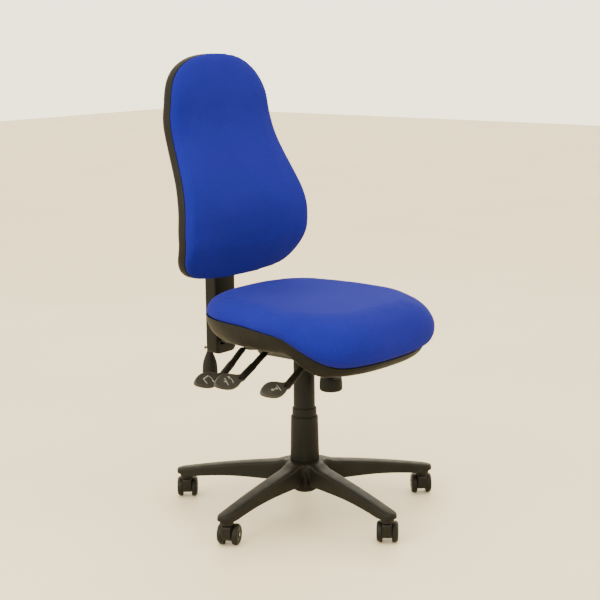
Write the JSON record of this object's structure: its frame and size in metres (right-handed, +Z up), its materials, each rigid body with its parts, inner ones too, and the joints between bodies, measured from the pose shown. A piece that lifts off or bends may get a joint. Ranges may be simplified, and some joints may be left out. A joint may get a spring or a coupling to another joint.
{
  "type": "swivel office chair",
  "caption": "Swivel operator chair with a high contoured back, waterfall seat, side levers, gas lift with telescopic covers and a star base on twin-wheel castors.",
  "frame": {"origin": "middle of the whole chair's footprint box, on the floor", "axes": "+Z up; the chair faces -Y at rest; -X is the sitter's right, where the levers are"},
  "size_m": [0.6725, 0.6886, 1.151],
  "materials": {
    "blue_fabric": "stretched royal-blue polyester weave, matt",
    "moulded_plastic": "fine-grained black moulded plastic",
    "base_nylon": "satin glass-filled black nylon",
    "castor_nylon": "smooth black nylon, scuffed on the treads",
    "lever_plastic": "semi-gloss black plastic",
    "black_steel": "black powder coat",
    "steel": "bright machined steel",
    "rubber": "matt black rubber",
    "plywood": "pressed birch plywood"
  },
  "bodies": {
    "base": {"star_base": "base_nylon", "column_tube": "black_steel", "guide_bush": "moulded_plastic", "column_cover_lower": "moulded_plastic"},
    "middle_cover": {"column_cover_middle": "moulded_plastic"},
    "piston": {"piston_rod": "steel"},
    "carrier": {"pressure_cylinder": "steel", "column_cover_upper": "moulded_plastic", "mechanism_chassis": "black_steel", "seat_pivot_axle": "steel", "back_pivot_axle": "steel", "tension_spring": "steel"},
    "release_pin": {"release_pin": "steel"},
    "tension_knob": {"tension_knob": "moulded_plastic"},
    "back_lever": {"back_lever_rod": "black_steel", "back_lever_paddle": "lever_plastic"},
    "tilt_lever": {"tilt_lever_rod": "black_steel", "tilt_lever_paddle": "lever_plastic"},
    "height_lever": {"height_lever_rod": "black_steel", "height_lever_paddle": "lever_plastic"},
    "seat": {"seat_plate": "black_steel", "seat_shell": "moulded_plastic", "seat_board": "plywood", "seat_cushion": "blue_fabric"},
    "upright": {"back_bar": "black_steel", "upright_cover": "moulded_plastic"},
    "backrest": {"height_slider": "moulded_plastic", "back_housing": "moulded_plastic", "back_shell": "moulded_plastic", "back_board": "plywood", "back_cushion": "blue_fabric", "lumbar_bladder": "rubber", "pump_hose": "rubber", "pump_bulb": "rubber"},
    "valve_knob": {"valve_knob": "steel"},
    "castor_1": {"castor_stem_1": "steel", "castor_body_1": "castor_nylon", "castor_axle_1": "steel"},
    "wheel_left_1": {"castor_wheel_left_1": "castor_nylon"},
    "wheel_right_1": {"castor_wheel_right_1": "castor_nylon"},
    "castor_2": {"castor_stem_2": "steel", "castor_body_2": "castor_nylon", "castor_axle_2": "steel"},
    "wheel_left_2": {"castor_wheel_left_2": "castor_nylon"},
    "wheel_right_2": {"castor_wheel_right_2": "castor_nylon"},
    "castor_3": {"castor_stem_3": "steel", "castor_body_3": "castor_nylon", "castor_axle_3": "steel"},
    "wheel_left_3": {"castor_wheel_left_3": "castor_nylon"},
    "wheel_right_3": {"castor_wheel_right_3": "castor_nylon"},
    "castor_4": {"castor_stem_4": "steel", "castor_body_4": "castor_nylon", "castor_axle_4": "steel"},
    "wheel_left_4": {"castor_wheel_left_4": "castor_nylon"},
    "wheel_right_4": {"castor_wheel_right_4": "castor_nylon"},
    "castor_5": {"castor_stem_5": "steel", "castor_body_5": "castor_nylon", "castor_axle_5": "steel"},
    "wheel_left_5": {"castor_wheel_left_5": "castor_nylon"},
    "wheel_right_5": {"castor_wheel_right_5": "castor_nylon"}
  },
  "joints": [
    {"name": "seat_swivel", "type": "hinge", "parent": "base", "child": "piston", "pos_m": [0.0135, -0.0032, 0.05], "axis": [0, 0, 1], "continuous": true},
    {"name": "seat_height", "type": "slide", "parent": "piston", "child": "carrier", "axis": [0, 0, 1], "range_m": [-0.07, 0.05]},
    {"name": "middle_cover_slide", "type": "slide", "parent": "base", "child": "middle_cover", "axis": [0, 0, 1], "range_m": [-0.035, 0.025]},
    {"name": "seat_tilt", "type": "hinge", "parent": "carrier", "child": "seat", "pos_m": [0.0135, -0.0632, 0.43], "axis": [-1, 0, 0], "range_deg": [-2, 3]},
    {"name": "back_recline", "type": "hinge", "parent": "carrier", "child": "upright", "pos_m": [0.0135, 0.0688, 0.414], "axis": [-1, 0, 0], "range_deg": [-4, 18]},
    {"name": "backrest_height", "type": "slide", "parent": "upright", "child": "backrest", "axis": [0, 0, 1], "range_m": [-0.02, 0.06]},
    {"name": "back_lever_lift", "type": "hinge", "parent": "carrier", "child": "back_lever", "pos_m": [-0.037, 0.1048, 0.416], "axis": [0, 1, 0], "range_deg": [0, 8]},
    {"name": "tilt_lever_lift", "type": "hinge", "parent": "carrier", "child": "tilt_lever", "pos_m": [-0.037, 0.0318, 0.422], "axis": [0, 1, 0], "range_deg": [0, 8]},
    {"name": "height_lever_lift", "type": "hinge", "parent": "carrier", "child": "height_lever", "pos_m": [-0.037, -0.1032, 0.428], "axis": [0, 1, 0], "range_deg": [0, 8], "stiffness_Nm_per_rad": 1, "springref_deg": -5.73},
    {"name": "release_pin_press", "type": "slide", "parent": "carrier", "child": "release_pin", "axis": [0, 0, -1], "range_m": [0, 0.0031]},
    {"name": "tension_knob_turn", "type": "hinge", "parent": "carrier", "child": "tension_knob", "pos_m": [0.0135, -0.0892, 0.34], "axis": [0, 0, 1], "range_deg": [-360, 360]},
    {"name": "valve_knob_turn", "type": "hinge", "parent": "backrest", "child": "valve_knob", "pos_m": [0.0135, 0.3188, 0.38], "axis": [-0.5, 0.866, 0], "range_deg": [-180, 180]},
    {"name": "castor_swivel_1", "type": "hinge", "parent": "base", "child": "castor_1", "pos_m": [0.26319, 0.20484, 0.06], "axis": [0, 0, 1], "continuous": true},
    {"name": "wheel_spin_left_1", "type": "hinge", "parent": "castor_1", "child": "wheel_left_1", "pos_m": [0.275, 0.21842, 0.026], "axis": [-0.7547, 0.6561, 0], "continuous": true},
    {"name": "wheel_spin_right_1", "type": "hinge", "parent": "castor_1", "child": "wheel_right_1", "pos_m": [0.275, 0.21842, 0.026], "axis": [-0.7547, 0.6561, 0], "continuous": true},
    {"name": "castor_swivel_2", "type": "hinge", "parent": "base", "child": "castor_2", "pos_m": [-0.10719, 0.29856, 0.06], "axis": [0, 0, 1], "continuous": true},
    {"name": "wheel_spin_left_2", "type": "hinge", "parent": "castor_2", "child": "wheel_left_2", "pos_m": [-0.09321, 0.30989, 0.026], "axis": [-0.6293, 0.7771, 0], "continuous": true},
    {"name": "wheel_spin_right_2", "type": "hinge", "parent": "castor_2", "child": "wheel_right_2", "pos_m": [-0.09321, 0.30989, 0.026], "axis": [-0.6293, 0.7771, 0], "continuous": true},
    {"name": "castor_swivel_3", "type": "hinge", "parent": "base", "child": "castor_3", "pos_m": [-0.31079, -0.02474, 0.06], "axis": [0, 0, 1], "continuous": true},
    {"name": "wheel_spin_left_3", "type": "hinge", "parent": "castor_3", "child": "wheel_left_3", "pos_m": [-0.29447, -0.01713, 0.026], "axis": [-0.4226, 0.9063, 0], "continuous": true},
    {"name": "wheel_spin_right_3", "type": "hinge", "parent": "castor_3", "child": "wheel_right_3", "pos_m": [-0.29447, -0.01713, 0.026], "axis": [-0.4226, 0.9063, 0], "continuous": true},
    {"name": "castor_swivel_4", "type": "hinge", "parent": "base", "child": "castor_4", "pos_m": [-0.06622, -0.31827, 0.06], "axis": [0, 0, 1], "continuous": true},
    {"name": "wheel_spin_left_4", "type": "hinge", "parent": "castor_4", "child": "wheel_left_4", "pos_m": [-0.05113, -0.30847, 0.026], "axis": [-0.5446, 0.8387, 0], "continuous": true},
    {"name": "wheel_spin_right_4", "type": "hinge", "parent": "castor_4", "child": "wheel_right_4", "pos_m": [-0.05113, -0.30847, 0.026], "axis": [-0.5446, 0.8387, 0], "continuous": true},
    {"name": "castor_swivel_5", "type": "hinge", "parent": "base", "child": "castor_5", "pos_m": [0.28851, -0.17638, 0.06], "axis": [0, 0, 1], "continuous": true},
    {"name": "wheel_spin_left_5", "type": "hinge", "parent": "castor_5", "child": "wheel_left_5", "pos_m": [0.30189, -0.16434, 0.026], "axis": [-0.6691, 0.7431, 0], "continuous": true},
    {"name": "wheel_spin_right_5", "type": "hinge", "parent": "castor_5", "child": "wheel_right_5", "pos_m": [0.30189, -0.16434, 0.026], "axis": [-0.6691, 0.7431, 0], "continuous": true}
  ],
  "couplings": [
    {"joint": "middle_cover_slide", "follows": "seat_height", "ratio": 0.5},
    {"joint": "release_pin_press", "follows": "height_lever_lift", "m_per_rad": 0.0215}
  ]
}
